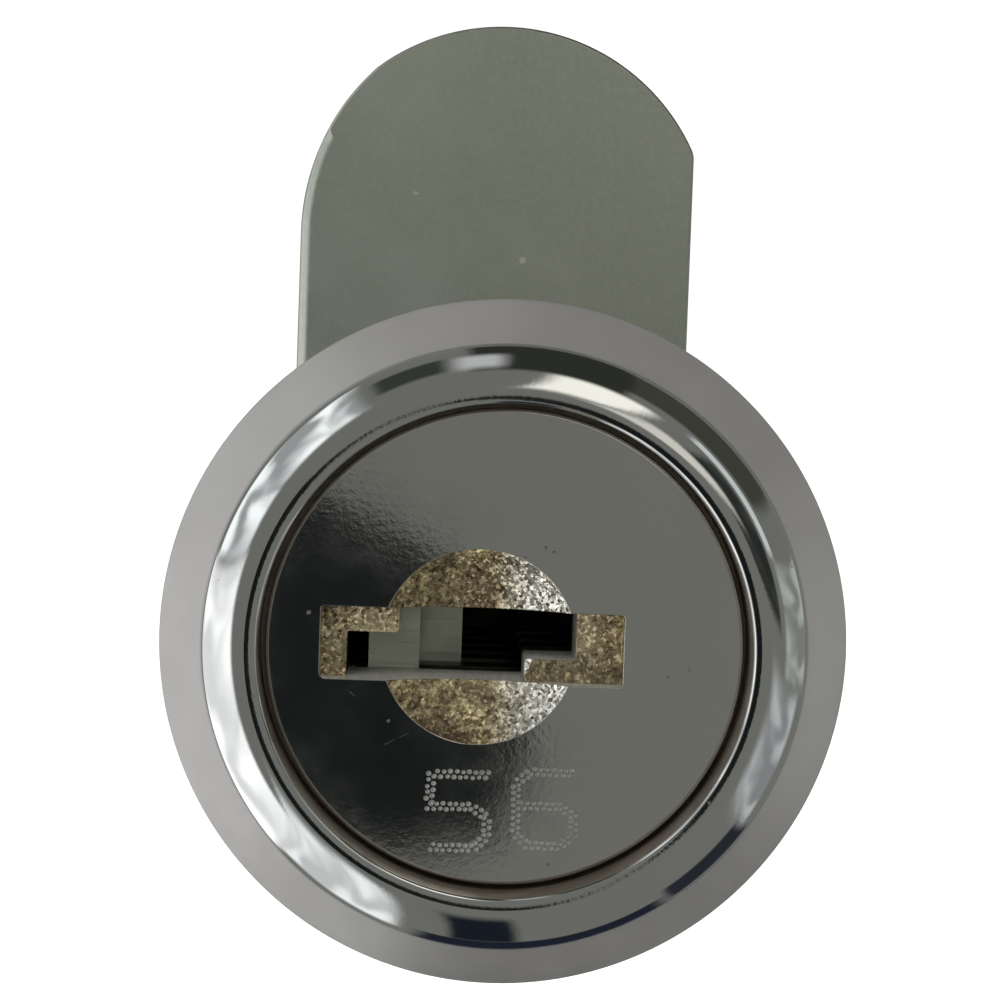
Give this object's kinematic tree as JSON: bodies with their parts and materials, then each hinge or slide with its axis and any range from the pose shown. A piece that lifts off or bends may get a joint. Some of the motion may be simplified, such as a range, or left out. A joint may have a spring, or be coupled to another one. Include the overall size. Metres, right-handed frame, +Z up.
{
  "type": "cam lock",
  "caption": "Key-operated quarter-turn cam lock: round chromed head, threaded barrel with two flats, flat cam, and a nut that clamps it in a door.",
  "frame": {"origin": "on the lock's axis, at the plane where the back of the flange seats on the front of the door", "axes": "+X to the right and +Z up as the user faces the lock, +Y from the face back through the door; the cam points along +Z"},
  "size_m": [0.022, 0.034, 0.033],
  "materials": {
    "head_chrome": "bright chrome plate on zinc die casting",
    "plug_chrome": "chrome plate with fine polishing marks, rough as cast inside the keyway",
    "cam_zinc": "dull zinc plate on sheared steel strip",
    "wafer_brass": "stamped brass with burnished edges",
    "spring_steel": "bright drawn spring steel",
    "nut_nickel": "bright nickel plate on turned steel"
  },
  "bodies": {
    "housing": {"housing": "head_chrome"},
    "plug": {"plug": "plug_chrome", "wafer_spring_1": "spring_steel", "wafer_spring_2": "spring_steel", "wafer_spring_3": "spring_steel", "wafer_spring_4": "spring_steel", "wafer_spring_5": "spring_steel", "wafer_spring_6": "spring_steel", "retainer_spring": "spring_steel", "stop_washer": "cam_zinc", "cam": "cam_zinc", "spring_washer": "spring_steel", "cam_nut": "nut_nickel"},
    "wafer_1": {"wafer_1": "wafer_brass"},
    "wafer_2": {"wafer_2": "wafer_brass"},
    "wafer_3": {"wafer_3": "wafer_brass"},
    "wafer_4": {"wafer_4": "wafer_brass"},
    "wafer_5": {"wafer_5": "wafer_brass"},
    "wafer_6": {"wafer_6": "wafer_brass"},
    "retaining_wafer": {"retaining_wafer": "wafer_brass"},
    "toothed_washer": {"toothed_washer": "spring_steel"},
    "fixing_nut": {"fixing_nut": "nut_nickel"}
  },
  "joints": [
    {"name": "plug_turn", "type": "hinge", "parent": "housing", "child": "plug", "pos_m": [0, 0, 0], "axis": [0, 1, 0], "range_deg": [0, 90]},
    {"name": "wafer_1_slide", "type": "slide", "parent": "plug", "child": "wafer_1", "axis": [1, 0, 0], "range_m": [-0.0003, 0.0006], "stiffness_N_per_m": 60, "springref_m": 0.002, "deforming": ["wafer_spring_1"]},
    {"name": "wafer_2_slide", "type": "slide", "parent": "plug", "child": "wafer_2", "axis": [1, 0, 0], "range_m": [-0.0003, 0.0006], "stiffness_N_per_m": 60, "springref_m": 0.002, "deforming": ["wafer_spring_2"]},
    {"name": "wafer_3_slide", "type": "slide", "parent": "plug", "child": "wafer_3", "axis": [1, 0, 0], "range_m": [-0.0003, 0.0006], "stiffness_N_per_m": 60, "springref_m": 0.002, "deforming": ["wafer_spring_3"]},
    {"name": "wafer_4_slide", "type": "slide", "parent": "plug", "child": "wafer_4", "axis": [1, 0, 0], "range_m": [-0.0003, 0.0006], "stiffness_N_per_m": 60, "springref_m": 0.002, "deforming": ["wafer_spring_4"]},
    {"name": "wafer_5_slide", "type": "slide", "parent": "plug", "child": "wafer_5", "axis": [1, 0, 0], "range_m": [-0.0003, 0.0006], "stiffness_N_per_m": 60, "springref_m": 0.002, "deforming": ["wafer_spring_5"]},
    {"name": "wafer_6_slide", "type": "slide", "parent": "plug", "child": "wafer_6", "axis": [1, 0, 0], "range_m": [-0.0003, 0.0006], "stiffness_N_per_m": 60, "springref_m": 0.002, "deforming": ["wafer_spring_6"]},
    {"name": "retainer_slide", "type": "slide", "parent": "plug", "child": "retaining_wafer", "axis": [1, 0, 0], "range_m": [-0.0005, 0], "stiffness_N_per_m": 60, "springref_m": 0.0015, "deforming": ["retainer_spring"]},
    {"name": "washer_travel", "type": "slide", "parent": "housing", "child": "toothed_washer", "axis": [0, 1, 0], "range_m": [-0.0046, 0.0106]},
    {"name": "nut_turn", "type": "hinge", "parent": "toothed_washer", "child": "fixing_nut", "pos_m": [0, 0, 0], "axis": [0, 1, 0], "range_deg": [-1080, 2520]}
  ],
  "couplings": [
    {"joint": "washer_travel", "follows": "nut_turn", "m_per_rad": 0.00023873}
  ]
}
